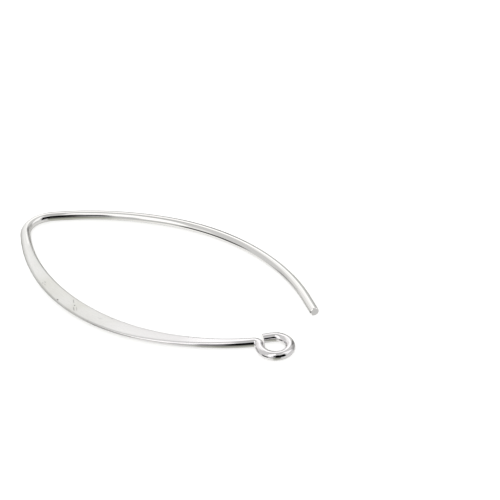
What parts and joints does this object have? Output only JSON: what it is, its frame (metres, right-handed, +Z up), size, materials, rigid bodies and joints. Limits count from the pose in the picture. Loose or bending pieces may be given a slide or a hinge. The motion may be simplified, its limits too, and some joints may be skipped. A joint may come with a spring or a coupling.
{
  "type": "ear wire",
  "caption": "Almond-shaped silver ear wire: a bent round wire with a cut end for the ear, a pressed flat satin front leg and a small open ring.",
  "frame": {"origin": "under the middle of the hook, on the surface that it lies on", "axes": "+X along the almond from the bend to the ring, +Y towards the back leg, +Z up from the surface"},
  "size_m": [0.03, 0.0172, 0.0008],
  "materials": {
    "silver": "bright silver: polished round wire, and a satin brushed face on the pressed front leg"
  },
  "bodies": {
    "root": {"ear_hook": "silver"}
  },
  "joints": []
}
